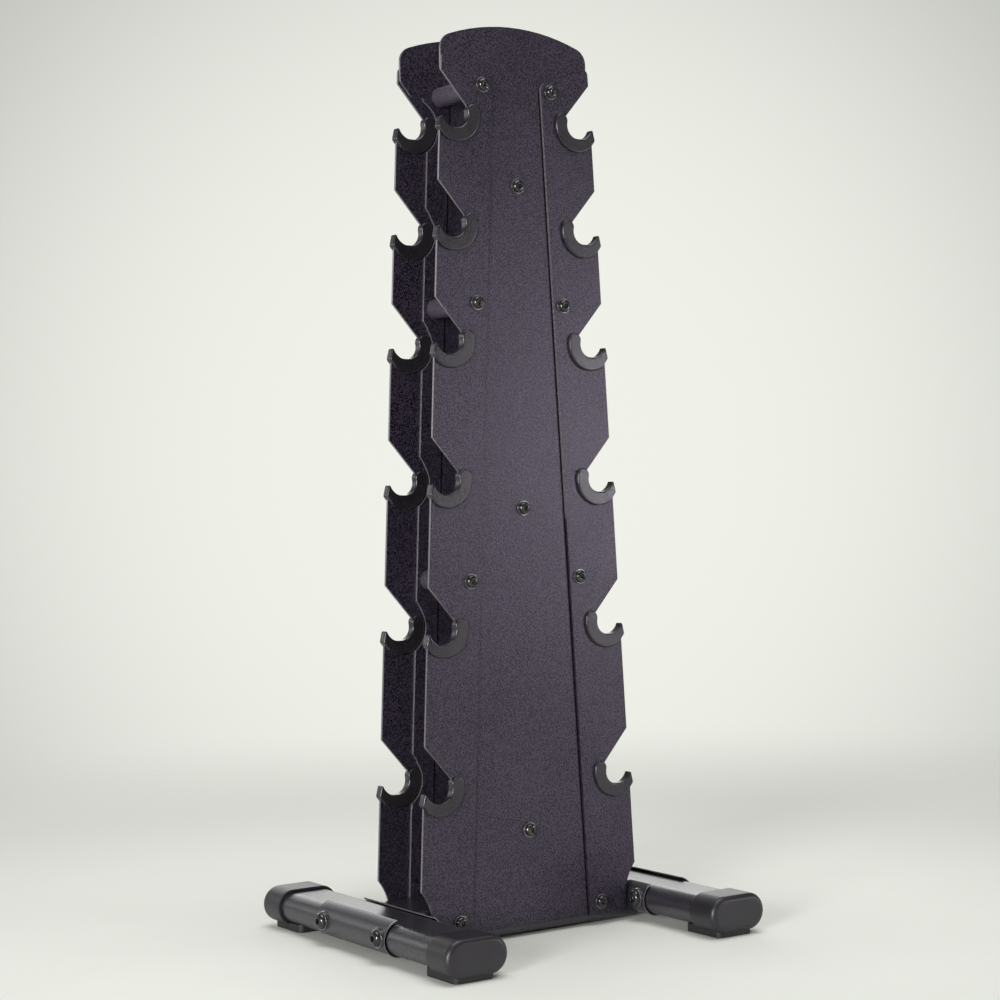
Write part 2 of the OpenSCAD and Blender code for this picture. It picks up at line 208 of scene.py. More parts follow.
def oxide(name, dark, light, rough, metallic):
    """Black-finished steel fastener, lightly polished by handling."""
    m, nt, sh = new_material(name)
    c = coords(nt)
    f = noise(nt, c, 900.0, 3.0, 0.6)
    big = noise(nt, c, 140.0, 4.0, 0.65)
    nt.links.new(ramp(nt, big, [(0.35, dark), (0.7, light)]), sh.inputs["Base Color"])
    nt.links.new(remap(nt, f, 0.3, 0.7, rough - 0.05, rough + 0.07), sh.inputs["Roughness"])
    nt.links.new(bump(nt, f, 0.08, 0.0001), sh.inputs["Normal"])
    sh.inputs["Metallic"].default_value = metallic
    sh.inputs["Specular IOR Level"].default_value = 0.6
    return m


M_SHEET = coat("sheet_powder_coat", (0.0012, 0.0006, 0.0022), (0.0440, 0.0355, 0.0540), 0.315, grain=700.0,
               spec=0.5, tint=(0.88, 0.78, 1.0), fine=0.8, spread=0.055)
M_TUBE = coat("tube_powder_coat", (0.0080, 0.0070, 0.0092), (0.0340, 0.0315, 0.0372), 0.30, grain=760.0,
              spec=0.72, tint=(0.95, 0.93, 1.0), peel=0.05, fine=0.05, spread=0.16)
# painted highlight: a much lighter coat on sheet edges and bracket cut edges, standing in for the light those edges
# catch
M_EDGE_HIGHLIGHT = coat("sheet_edge_painted_highlight", (0.0800, 0.0750, 0.0840), (0.1300, 0.1240, 0.1360), 0.26, grain=1300.0,
              spec=1.0, tint=(0.97, 0.95, 1.0), peel=0.05, fine=0.04)
# painted shade: a near-black coat standing in for the shade in the seams beside the strips, in the strip corners and
# under the bracket lips
M_PAINTED_SHADE = coat("painted_seam_shade", (0.0008, 0.0006, 0.0010), (0.0040, 0.0034, 0.0046), 0.62, grain=760.0,
              spec=0.12, tint=(0.95, 0.92, 1.0), peel=0.05, fine=0.1)
M_SPACER = coat("spacer_coat", (0.0220, 0.0175, 0.0270), (0.0900, 0.0780, 0.1040), 0.42,
                spec=0.6, tint=(0.90, 0.83, 1.0), peel=0.12, fine=0.3)
M_CRADLE = moulded("cradle_plastic", (0.0075, 0.0064, 0.0080), (0.0235, 0.0214, 0.0246), 0.28, 1000.0, 0.16, 0.64,
                   tint=(0.94, 0.87, 1.0))
M_CAP = moulded("cap_plastic", (0.0080, 0.0074, 0.0086), (0.0210, 0.0196, 0.0226), 0.41, 900.0, 0.28, 0.5, scuff=0.10,
                tint=(0.97, 0.92, 1.0))
M_PAD = moulded("pad_rubber", (0.0110, 0.0110, 0.0115), (0.0210, 0.0210, 0.0215), 0.50, 900.0, 0.30, 0.32)
M_BOLT = oxide("bolt_black", (0.035, 0.035, 0.036), (0.090, 0.090, 0.092), 0.15, 0.8)
M_WASHER = oxide("washer_black", (0.120, 0.120, 0.124), (0.230, 0.230, 0.235), 0.26, 0.85)
M_NUT = oxide("nut_black", (0.05, 0.05, 0.052), (0.10, 0.10, 0.10), 0.40, 0.9)


# ---------------------------------------------------------------- mesh helpers
def add_object(name, me, mat):
    o = bpy.data.objects.new(name, me)
    bpy.context.scene.collection.objects.link(o)
    me.materials.clear()
    me.materials.append(mat)
    return o


def bake_modifiers(o):
    dg = bpy.context.evaluated_depsgraph_get()
    me = bpy.data.meshes.new_from_object(o.evaluated_get(dg), preserve_all_data_layers=True, depsgraph=dg)
    old = o.data
    o.modifiers.clear()
    o.data = me
    bpy.data.meshes.remove(old)


def smooth(o, angle=32.0, flat=None):
    """Smooth shading across edges softer than angle, with the larger faces deciding the direction, so flats stay flat.
    flat is the index of an axis whose square-on faces keep their own direction right up to their edges."""
    me = o.data
    me.shade_smooth()
    if "custom_normal" in me.attributes:
        me.attributes.remove(me.attributes["custom_normal"])
    bm = bmesh.new()
    bm.from_mesh(me)
    limit = math.cos(math.radians(angle))
    out = []
    for f in bm.faces:
        for l in f.loops:
            total = Vector((0, 0, 0))
            for g in l.vert.link_faces:
                if g is f or g.normal.dot(f.normal) > limit:
                    if flat is not None and abs(g.normal[flat]) > 0.9995:
                        total = Vector((0, 0, 0))
                        total[flat] = 1.0 if g.normal[flat] > 0 else -1.0
                        break
                    total += g.normal * g.calc_area()
            out.append(tuple(total.normalized()) if total.length > 0 else tuple(f.normal))
    bm.free()
    me.normals_split_custom_set(out)
    return o


def cut(o, *tools):
    for t in tools:
        b = o.modifiers.new("cut", "BOOLEAN")
        b.operation = "DIFFERENCE"
        b.solver = "EXACT"
        b.object = t
        bake_modifiers(o)
    return o


def finish_piece(o, node, body="root"):
    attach(o, body)
    if node:
        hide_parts(*([node] if isinstance(node, str) else node))
    return o


def mesh_of(name, verts, faces):
    me = bpy.data.meshes.new(name)
    me.from_pydata([tuple(v) for v in verts], [], faces)
    me.validate()
    bm = bmesh.new()
    bm.from_mesh(me)
    bmesh.ops.remove_doubles(bm, verts=bm.verts, dist=1e-7)
    bmesh.ops.recalc_face_normals(bm, faces=bm.faces)
    bm.to_mesh(me)
    bm.free()
    return me


def clean_cad(node):
    bm = bmesh.new()
    bm.from_mesh(NODES[node].data)
    for f in bm.faces:
        f.smooth = False
    bmesh.ops.remove_doubles(bm, verts=bm.verts, dist=2e-6)
    bmesh.ops.dissolve_limit(bm, angle_limit=math.radians(0.4), use_dissolve_boundaries=False,
                             verts=bm.verts, edges=bm.edges, delimit=set())
    return bm


def rings_mesh(name, rings, close_ends=True):
    """A closed skin through equal-length rings of points; the ends are capped with a face."""
    n = len(rings[0])
    verts = [p for r in rings for p in r]
    faces = []
    for i in range(len(rings) - 1):
        for j in range(n):
            a, b = i * n + j, i * n + (j + 1) % n
            faces.append((a, b, b + n, a + n))
    if close_ends:
        faces.append(tuple(range(n - 1, -1, -1)))
        faces.append(tuple((len(rings) - 1) * n + j for j in range(n)))
    return mesh_of(name, verts, faces)


def islands(node):
    """The separate solids of a CAD node, as boxes."""
    bm = bmesh.new()
    bm.from_mesh(NODES[node].data)
    bmesh.ops.remove_doubles(bm, verts=bm.verts, dist=2e-6)
    seen, boxes = set(), []
    for v in bm.verts:
        if v in seen:
            continue
        stack, group = [v], []
        seen.add(v)
        while stack:
            w = stack.pop()
            group.append(w.co.copy())
            for e in w.link_edges:
                x = e.other_vert(w)
                if x not in seen:
                    seen.add(x)
                    stack.append(x)
        lo = Vector([min(p[i] for p in group) for i in range(3)])
        hi = Vector([max(p[i] for p in group) for i in range(3)])
        boxes.append((lo, hi))
    bm.free()
    return boxes


# ---------------------------------------------------------------- sheet metal
# the strips' inner edge: distance from the middle at floor level, and its inward lean with height
LEAN = 0.0509
INNER_X = 0.0803
SEAM_ROUND, SEAM_SHADE_WIDE = 0.0010, 0.0019
END_AT, END_R = (0.04564, 0.9352), 0.0129


def sheet_piece(node, name, edge=0.0008):
    """The laser-cut sheet with its edges softly broken, as coated sheet has them."""
    lo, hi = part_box(node)
    bm = clean_cad(node)

    def on_seam(v, tol):
        return "strip" in node and abs(abs(v.x) - (INNER_X - LEAN * v.z)) < tol

    def on_end(v, tol):
        # the end of that edge, round the top bolt of the strip
        x, z = abs(v.x) - END_AT[0], v.z - END_AT[1]
        return "strip" in node and z > -0.0005 and x < -0.001 and abs(math.hypot(x, z) - END_R) < tol

    if "strip" in node:
        # the strips are cut at 0.46 m so that their seam edge carries a painted highlight above that height only
        bmesh.ops.bisect_plane(bm, geom=bm.verts[:] + bm.edges[:] + bm.faces[:], plane_co=(0, 0, 0.46),
                               plane_no=(0, 0, 1))
    else:
        # a band of the panel beside each strip is cut out to carry painted shade, the shade in the corner where a strip
        # lies on the panel
        for sx in (-1.0, 1.0):
            for off in (0.0, SEAM_SHADE_WIDE):
                bmesh.ops.bisect_plane(bm, geom=bm.verts[:] + bm.edges[:] + bm.faces[:],
                                       plane_co=(sx * (INNER_X - off), 0, 0), plane_no=(sx, 0, LEAN))
        bmesh.ops.bisect_plane(bm, geom=bm.verts[:] + bm.edges[:] + bm.faces[:],
                               plane_co=(0, 0, END_AT[1]), plane_no=(0, 0, 1))
    # the long straight edge on the centre panel is rolled a little rounder than the rest
    for width in (SEAM_ROUND, edge):
        es = []
        for e in bm.edges:
            if len(e.link_faces) != 2 or e.calc_face_angle(0.0) < math.radians(40):
                continue
            y0, y1 = e.verts[0].co.y, e.verts[1].co.y
            seam = all(on_seam(v.co, 0.0003) for v in e.verts) and e.calc_length() > 0.1
            if width == SEAM_ROUND and not seam:
                continue
            if abs(y0 - y1) < 1e-6 and (abs(y0 - lo.y) < 1e-5 or abs(y0 - hi.y) < 1e-5):
                es.append(e)
        if es:
            bmesh.ops.bevel(bm, geom=es, offset=width, offset_type="OFFSET", segments=3, profile=0.5,
                            affect="EDGES", clamp_overlap=True, miter_outer="SHARP", miter_inner="SHARP")
    me = bpy.data.meshes.new(name)
    bm.to_mesh(me)
    bm.free()
    o = add_object(name, me, M_SHEET)
    o.data.materials.append(M_EDGE_HIGHLIGHT)
    o.data.materials.append(M_PAINTED_SHADE)
    for p in o.data.polygons:
        # the long straight edge that lies on the centre panel gets painted shade on its bevel toward the panel, and a
        # painted highlight on its wall and front bevel above 0.46 m, plain coat below
        inner = on_seam(p.center, 0.0020) or on_end(p.center, 0.0015)
        corner = INNER_X - LEAN * p.center.z - abs(p.center.x)
        if abs(p.normal.y) > 0.985:
            # painted shade on the panel's flat face in the band beside each strip
            dark = "panel" in node and 0 < corner < SEAM_SHADE_WIDE and p.area > 1e-5 and p.center.z < END_AT[1]
            p.material_index = 2 if dark else 0
        elif inner:
            if p.normal.x * p.normal.y < -0.02:
                p.material_index = 2
            elif p.center.z > 0.46:
                p.material_index = 1
            else:
                p.material_index = 0
        # every other edge face gets the painted highlight coat
        else:
            p.material_index = 1
    smooth(o, 44, flat=1)
    return finish_piece(o, node)


for node in ("front_centre_panel", "rear_centre_panel", "front_left_strip", "front_right_strip",
             "rear_left_strip", "rear_right_strip"):
    sheet_piece(node, node.replace("strip", "hook_strip").replace("centre", "tapered_centre"))


# ---------------------------------------------------------------- moulded cradles
SEAT_R, RING_R, SEAT_IN = 14.3, 29.8, 20.2


def arc(c, r, a0, a1, step=3.0):
    n = max(2, int(abs(a1 - a0) / step))
    return [(c[0] + r * math.cos(math.radians(a0 + (a1 - a0) * i / n)),
             c[1] + r * math.sin(math.radians(a0 + (a1 - a0) * i / n))) for i in range(n + 1)]


def chaikin(pts, times):
    """Rounds an open line of points, keeping its two ends."""
    for _ in range(times):
        new = [pts[0]]
        for p, q in zip(pts, pts[1:]):
            new.append((0.75 * p[0] + 0.25 * q[0], 0.75 * p[1] + 0.25 * q[1]))
            new.append((0.25 * p[0] + 0.75 * q[0], 0.25 * p[1] + 0.75 * q[1]))
        new.append(pts[-1])
        pts = new
    return pts


def cradle_line():
    """Closed outline, counter-clockwise, u outwards and v up from the bottom of the seat, in mm."""
    c = (-SEAT_IN, SEAT_R)
    mid, half = (SEAT_R + RING_R) / 2, (RING_R - SEAT_R) / 2
    end = (c[0] + mid * math.cos(math.radians(167.7)), c[1] + mid * math.sin(math.radians(167.7)))
    outer = arc(c, RING_R, 167.7, 306.0)
    lip = chaikin([outer[-1], (-1.2, -7.0), (3.1, -1.9), (3.5, 0.0), (2.2, 5.0), (1.2, 9.4), (0.5, 10.9), (-0.7, 11.2),
                   (-1.7, 10.6), (-3.0, 7.6), (-5.6, 4.6), (-9.0, 1.9), (-13.0, 0.1), (-16.5, 0.0), (-20.2, 0.0)], 3)
    inner = arc(c, SEAT_R, 270.0, 167.7)
    # rounded inner end, from the seat round to the outside
    tip = arc(end, half, 167.7 - 180.0, 167.7, 6.0)
    pts = outer[:-1] + lip[:-1] + inner[:-1] + tip[:-1]
    out = []
    for p in pts:
        if not out or math.dist(p, out[-1]) > 0.12:
            out.append(p)
    if math.dist(out[0], out[-1]) < 0.12:
        out.pop()
    return out


def inset(pts, d):
    n = len(pts)
    out = []
    for i in range(n):
        a, b, c = pts[i - 1], pts[i], pts[(i + 1) % n]
        e0 = Vector((b[0] - a[0], b[1] - a[1])).normalized()
        e1 = Vector((c[0] - b[0], c[1] - b[1])).normalized()
        n0, n1 = Vector((-e0.y, e0.x)), Vector((-e1.y, e1.x))
        m = (n0 + n1)
        m = m / max(0.5, m.length_squared / 2) if m.length_squared > 1e-9 else n0
        out.append((b[0] + m.x * d, b[1] + m.y * d))
    return out


LINE = cradle_line()
U_MAX, V_MIN = max(p[0] for p in LINE), min(p[1] for p in LINE)


def cradle_piece(side_y, side_x, k):
    node = "cradle_%s_%s_%d" % (side_y, side_x, k)
    lo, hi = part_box(node)
    sx = 1.0 if side_x == "right" else -1.0
    outer = hi.x if sx > 0 else -lo.x
    ref_x, ref_z = outer - U_MAX * MM, lo.z - V_MIN * MM
    # the outline is in mm and the depth in metres, so the edge radius is scaled for each
    r = 1.8
    rings = []
    for t0, yb, sg in ((range(0, 6), lo.y, 1.0), (range(5, -1, -1), hi.y, -1.0)):
        for j in t0:
            t = math.radians(18.0 * j)
            ring = inset(LINE, r * (1 - math.sin(t)))
            y = yb + sg * r * MM * (1 - math.cos(t))
            rings.append([(sx * (ref_x + p[0] * MM), y, ref_z + p[1] * MM) for p in ring])
    me = rings_mesh(node + "_body", rings)
    o = add_object("moulded_" + node, me, M_CRADLE)
    cut(o, NODES["%s_%s_strip" % (side_y, side_x)])
    smooth(o, 40, flat=1)
    return finish_piece(o, node)


for fy in ("front", "rear"):
    for fx in ("left", "right"):
        for k in range(1, 7):
            cradle_piece(fy, fx, k)


# ---------------------------------------------------------------- turned parts
def lathe_rings(profile, n=48):
    return [[(r * math.cos(2 * math.pi * j / n), r * math.sin(2 * math.pi * j / n), z) for j in range(n)]
            for r, z in profile]


def hex_ring(af, z, n=48):
    ring = []
    for j in range(n):
        a = 360.0 * j / n
        r = (af / 2) / math.cos(math.radians((a % 60.0) - 30.0))
        ring.append((r * math.cos(math.radians(a)), r * math.sin(math.radians(a)), z))
    return ring


def screw_rings(d, length, head_d, head_h, af):
    """Button-head screw, head seat at z = 0, head towards +z, in mm."""
    rd, rh = d / 2, head_d / 2
    top = head_d * 0.255
    rings = lathe_rings([(0.05, -length), (rd - 1.0, -length), (rd, -length + 1.0), (rd, -0.3), (rd + 0.3, 0.0),
                         (rh - 0.45, 0.0), (rh - 0.12, 0.12), (rh, 0.45), (rh, 0.85)])
    n = 9
    for i in range(1, n + 1):
        t = math.radians(84.0 * i / n)
        r = top + (rh - top) * math.cos(t)
        z = 0.85 + (head_h - 0.85) * math.sin(t)
        rings += lathe_rings([(r, z)])
    circ = af / 2 / math.cos(math.radians(30)) + 0.32
    rings += lathe_rings([(circ + 0.25, head_h), (circ, head_h - 0.06)])
    rings += [hex_ring(af + 0.1, head_h - 0.38), hex_ring(af, head_h - 0.6), hex_ring(af, head_h * 0.42)]
    rings += lathe_rings([(0.05, head_h * 0.42 - 0.55)])
    return rings


def washer_rings(do, di, t):
    ro, ri, e = do / 2, di / 2, 0.28
    prof = [(ri, e), (ri, t - e), (ri + e, t), (ro - e * 1.4, t), (ro - e * 0.4, t - e * 0.35), (ro, t - e * 1.2),
            (ro, e), (ro - e, 0), (ri + e, 0), (ri, e)]
    return lathe_rings(prof, 56)


def merge_rings(name, groups, caps=True):
    """One mesh of several ring skins: groups is a list of (rings, 4x4 place, closed)."""
    verts, faces = [], []
    for rings, m, closed in groups:
        n, base = len(rings[0]), len(verts)
        for r in rings:
            verts += [tuple(m @ (Vector(p) * MM)) for p in r]
        for i in range(len(rings) - 1):
            for j in range(n):
                a, b = base + i * n + j, base + i * n + (j + 1) % n
                faces.append((a, b, b + n, a + n))
        if closed:
            faces.append(tuple(base + j for j in range(n - 1, -1, -1)))
            faces.append(tuple(base + (len(rings) - 1) * n + j for j in range(n)))
    return mesh_of(name, verts, faces)


def place_along(point, axis, spin=0.0):
    q = Vector(axis).to_track_quat("Z", "Y").to_matrix().to_4x4()
    return Matrix.Translation(point) @ q @ Matrix.Rotation(math.radians(spin), 4, "Z")


# panel screws and washers: one of each at every washer of the CAD
screws, washers = [], []
for i, (lo, hi) in enumerate(sorted(islands("panel_washers"), key=lambda b: tuple(b[0]))):
    c = (lo + hi) / 2
    s = 1.0 if c.y > 0 else -1.0
    inner = lo.y if s > 0 else hi.y
    outer = hi.y if s > 0 else lo.y
    spin = (i * 37.0) % 60.0
    washers.append((washer_rings(17.0, 8.4, 1.6), place_along((c.x, inner, c.z), (0, s, 0)), False))
    screws.append((screw_rings(8.0, 20.0, 14.0, 4.4, 5.0), place_along((c.x, outer, c.z), (0, s, 0), spin), True))
o = add_object("panel_washer_set", merge_rings("panel_washer_set", washers), M_WASHER)
finish_piece(smooth(o, 50), "panel_washers")
o = add_object("panel_screw_set", merge_rings("panel_screw_set", screws), M_BOLT)
finish_piece(smooth(o, 50), "panel_bolts")

screws = []
for i, (lo, hi) in enumerate(sorted(islands("foot_bolts"), key=lambda b: tuple(b[0]))):
    c = (lo + hi) / 2
    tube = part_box("right_foot_tube" if c.x > 0 else "left_foot_tube")
    mid = (tube[0].x + tube[1].x) / 2
    s = 1.0 if c.x > mid else -1.0
    head = (hi.x if s > 0 else lo.x) - s * 5.4 * MM
    spin = (i * 23.0 + 11.0) % 60.0
    screws.append((screw_rings(10.0, 16.0, 17.5, 5.4, 6.0), place_along((head, c.y, c.z), (s, 0, 0), spin), True))
o = add_object("foot_screw_set", merge_rings("foot_screw_set", screws), M_BOLT)
finish_piece(smooth(o, 50), "foot_bolts")

bm = clean_cad("foot_washers")
es = [e for e in bm.edges if len(e.link_faces) == 2 and e.calc_face_angle(0.0) > math.radians(60)
      and abs(e.verts[0].co.x - e.verts[1].co.x) < 1e-6]
bmesh.ops.bevel(bm, geom=es, offset=0.0004, offset_type="OFFSET", segments=3, profile=0.5, affect="EDGES",
                clamp_overlap=True)
me = bpy.data.meshes.new("saddle_washer_set")
bm.to_mesh(me)
bm.free()
finish_piece(smooth(add_object("saddle_washer_set", me, M_WASHER), 40), "foot_washers")

for node in ("crossmember_nuts", "foot_nuts"):
    NODES[node].data.materials.clear()
    NODES[node].data.materials.append(M_NUT)

# spacer bars
for where in ("left", "right", "centre"):
    for lvl in ("top", "middle", "bottom"):
        node = "spacer_%s_%s" % (where, lvl)
        lo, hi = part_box(node)
        c = (lo + hi) / 2
        r = (hi.z - lo.z) / 2 / MM
        ln = (hi.y - lo.y) / MM
        prof = [(4.0, 0.9), (4.9, 0.0), (r - 0.8, 0.0), (r - 0.25, 0.22), (r, 0.8), (r, ln - 0.8), (r - 0.25, ln - 0.22),
                (r - 0.8, ln), (4.9, ln), (4.0, ln - 0.9), (4.0, 0.9)]
        me = merge_rings(node + "_bar", [(lathe_rings(prof, 64), place_along((c.x, lo.y, c.z), (0, 1, 0)), False)])
        finish_piece(smooth(add_object(node + "_bar", me, M_SPACER), 40), node)


# ---------------------------------------------------------------- oval tubes
def obround_ring(w, h, y, cx, cz, floor=None, n=36):
    """Points of an oval section at depth y; floor flattens its underside at that height."""
    pts = []
    r = h / 2
    for s, a0 in ((1, -90.0), (-1, 90.0)):
        for i in range(n + 1):
            a = math.radians(a0 + 180.0 * i / n)
            pts.append((s * 0.0 + cx + (s * (w - h) / 2) + r * math.cos(a), y, cz + r * math.sin(a)))
        # points along the flat, so long flats stay even
        nxt = (-s * (w - h) / 2)
        for i in range(1, 5):
            t = i / 5.0
            x0, x1 = s * (w - h) / 2, nxt
            pts.append((cx + x0 + (x1 - x0) * t, y, cz + (r if s > 0 else -r)))
    if floor is not None:
        pts = [(x, yy, max(z, floor)) for x, yy, z in pts]
    return pts


def tube_piece(name, node, wall, mat, slot, stations):
    lo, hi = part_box(node)
    w, h = hi.x - lo.x, hi.z - lo.z
    cx, cz = (lo.x + hi.x) / 2, (lo.z + hi.z) / 2
    e = wall * 0.35
    rings = []
    for y in [lo.y + e] + [s for s in stations] + [hi.y - e]:
        rings.append(obround_ring(w, h, y, cx, cz))
    rings.append(obround_ring(w - e * 0.6, h - e * 0.6, hi.y - e * 0.3, cx, cz))
    rings.append(obround_ring(w - 2 * e, h - 2 * e, hi.y, cx, cz))
    rings.append(obround_ring(w - 2 * wall, h - 2 * wall, hi.y, cx, cz))
    for y in [s for s in reversed(stations)]:
        rings.append(obround_ring(w - 2 * wall, h - 2 * wall, y, cx, cz))
    rings.append(obround_ring(w - 2 * wall, h - 2 * wall, lo.y, cx, cz))
    rings.append(obround_ring(w - 2 * e, h - 2 * e, lo.y, cx, cz))
    rings.append(obround_ring(w - e * 0.6, h - e * 0.6, lo.y + e * 0.3, cx, cz))
    rings.append(rings[0])
    o = add_object(name, rings_mesh(name, rings, close_ends=False), mat)
    return o, cx, cz


def hole_tool(bolts, d, span):
    """Bars across X at each pair of bolts, to drill a tube or a bracket."""
    seats = {round((b[0].y + b[1].y) / 2, 4): b for b in bolts}
    groups = [(lathe_rings([(d / 2, -span), (d / 2, span)], 40),
               place_along(((b[0].x + b[1].x) / 2, (b[0].y + b[1].y) / 2, (b[0].z + b[1].z) / 2), (1, 0, 0)), True)
              for b in seats.values()]
    return add_object("hole_tool", merge_rings("hole_tool", groups), M_NUT)


WALL, ARM_RISE, ARM_OUT, ARM_IN = 1.2, 3.4, 19.4, 25.5


def saddle_line(tube_w, tube_h):
    """Outline of a saddle bracket in mm about the middle of its tube, u outwards: down the outer arm, round under
    the tube and up the inner arm, outside and inside the sheet."""
    low_r = tube_h / 2 + 0.1
    arm_r, half = low_r + ARM_RISE, tube_w / 2 + 0.1

    def sweep(c, r, a0, a1, n):
        return [(c + r * math.cos(math.radians(a0 + (a1 - a0) * i / n)),
                 r * math.sin(math.radians(a0 + (a1 - a0) * i / n))) for i in range(n + 1)]

    def skin(t):
        rl, ra = low_r + t, arm_r + t
        cl, ca = half - low_r, half - arm_r
        a_out = math.degrees(math.acos((ARM_OUT - ca) / ra))
        a_in = math.degrees(math.acos((ARM_IN - ca) / ra))
        line = sweep(ca, ra, a_out, 0.0, 20)
        line += sweep(cl, rl, 0.0, -90.0, 20)[1:]
        line += [(cl - 2 * cl * i / 6.0, -rl) for i in range(1, 6)]
        line += sweep(-cl, rl, -90.0, -180.0, 20)
        line += sweep(-ca, ra, 180.0, 180.0 - a_in, 16)[1:]
        return line

    return skin(WALL), skin(0.0)


def bracket_piece(side):
    """Saddle bracket with rounded cut edges, open on top between its two arms."""
    node = side + "_foot_bracket"
    lo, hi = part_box(node)
    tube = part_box(side + "_foot_tube")
    cx, cz = (tube[0].x + tube[1].x) / 2, (tube[0].z + tube[1].z) / 2
    sx = 1.0 if side == "right" else -1.0
    out, inn = saddle_line((tube[1].x - tube[0].x) / MM, (tube[1].z - tube[0].z) / MM)
    n = len(out)
    # rings across the sheet, from the inner side round the edge to the shown side; at the front the last few
    # millimetres stand a little off the tube, as the lip of a pressed bracket does, less so up the arms
    rings, tail = [], []
    ease = [1.0 - 0.75 * min(1.0, max(0.0, (i[1] - 3.0) / 12.0)) for i in inn]
    for t, y in ((0.0, 5.2), (0.30, 3.4), (0.85, 1.7), (1.25, 0.45), (1.38, 0.0),
                 (WALL + 0.95, 0.0), (WALL + 1.15, 0.10), (WALL + 1.22, 0.35), (WALL + 0.85, 1.7),
                 (WALL + 0.30, 3.4), (WALL, 5.2)):
        base = min(WALL, max(0.0, t - 1.2)) if y < 3.0 else (0.0 if t < 0.6 else WALL)
        fs = [(base + (t - base) * g) / WALL for g in ease]
        rings.append(([(i[0] + (o_[0] - i[0]) * f, i[1] + (o_[1] - i[1]) * f) for o_, i, f in zip(out, inn, fs)], y))
        f = base / WALL
        tail.append(([(i[0] + (o_[0] - i[0]) * f, i[1] + (o_[1] - i[1]) * f) for o_, i in zip(out, inn)], y))
    verts, faces = [], []
    for pts, y in rings:
        verts += [(cx + sx * p[0] * MM, lo.y + y * MM, cz + p[1] * MM) for p in pts]
    for pts, y in reversed(tail):
        verts += [(cx + sx * p[0] * MM, hi.y - y * MM, cz + p[1] * MM) for p in pts]
    m = 2 * len(rings)
    for k in range(m):
        a, b = k * n, ((k + 1) % m) * n
        for j in range(n - 1):
            faces.append((a + j, a + j + 1, b + j + 1, b + j))
    faces.append(tuple(k * n for k in range(m)))
    faces.append(tuple(k * n + n - 1 for k in range(m - 1, -1, -1)))
    o = add_object("saddle_" + node, mesh_of(node + "_sheet", verts, faces), M_TUBE)
    return o, node


for side in ("left", "right"):
    bolts = [b for b in islands("foot_bolts") if (b[0].x + b[1].x > 0) == (side == "right")]
    ys = sorted({round((b[0].y + b[1].y) / 2, 5) for b in bolts})
    blo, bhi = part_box(side + "_foot_bracket")
    st = sorted([y + d for y in ys for d in (-0.0068, 0.0068)] +
                [blo.y - 0.0010, blo.y + 0.006])
    node = side + "_foot_tube"
    tool = hole_tool(bolts, 10.6, 60.0)
    o, cx, cz = tube_piece("oval_" + node, node, 0.0012, M_TUBE, "tube_paint", st)
    cut(o, tool)
    # painted shade: the tube is near black for a few millimetres at the bracket's front lip, under and just in front of
    # it, except on the open top
    o.data.materials.append(M_PAINTED_SHADE)
    outward = 1.0 if side == "right" else -1.0
    for p in o.data.polygons:
        u = (p.center.x - cx) * outward
        open_top = -ARM_IN * MM < u < ARM_OUT * MM and p.center.z > cz
        if blo.y - 0.0011 < p.center.y < blo.y + 0.0061 and not open_top:
            p.material_index = 1
    finish_piece(smooth(o, 40), node)
    o, node = bracket_piece(side)
    cut(o, tool)
    o.data.materials.append(M_EDGE_HIGHLIGHT)
    o.data.materials.append(M_PAINTED_SHADE)
    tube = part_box(side + "_foot_tube")
    half, low_r = (tube[1].x - tube[0].x) / 2 + 0.1 * MM, (tube[1].z - tube[0].z) / 2 + 0.1 * MM
    for p in o.data.polygons:
        u, v = abs(p.center.x - cx), p.center.z - cz
        r = low_r if v < 0 else low_r + ARM_RISE * MM
        q = Vector((max(u - (half - r), 0.0), v))
        depth = q.length - r                      # 0 on the inner face, WALL on the outer one
        end = abs(p.center.y - blo.y)
        # painted shade on the inner face of the front lip, and a painted highlight on the cut ends and the cut top
        # edges of the arms
        if end < 5.2 * MM and depth < (1.30 - 0.24 * end / MM) * MM and abs(p.normal.y) < 0.9:
            p.material_index = 2
        elif abs(p.normal.y) > 0.5:
            p.material_index = 1
        elif v > 0.010 and 0.1 * MM < depth < (WALL - 0.1) * MM and abs(p.normal.y) < 0.1:
            p.material_index = 1
    finish_piece(smooth(o, 40), node)
    bpy.data.objects.remove(tool)


# box section across the base, edges softened
bm = clean_cad("base_crossmember")
me = bpy.data.meshes.new("base_box_section")
bm.to_mesh(me)
bm.free()
o = add_object("base_box_section", me, M_TUBE)
b = o.modifiers.new("edges", "BEVEL")
b.width, b.segments, b.limit_method, b.angle_limit = 0.0003, 2, "ANGLE", math.radians(50)
bake_modifiers(o)
finish_piece(smooth(o, 34), "base_crossmember")


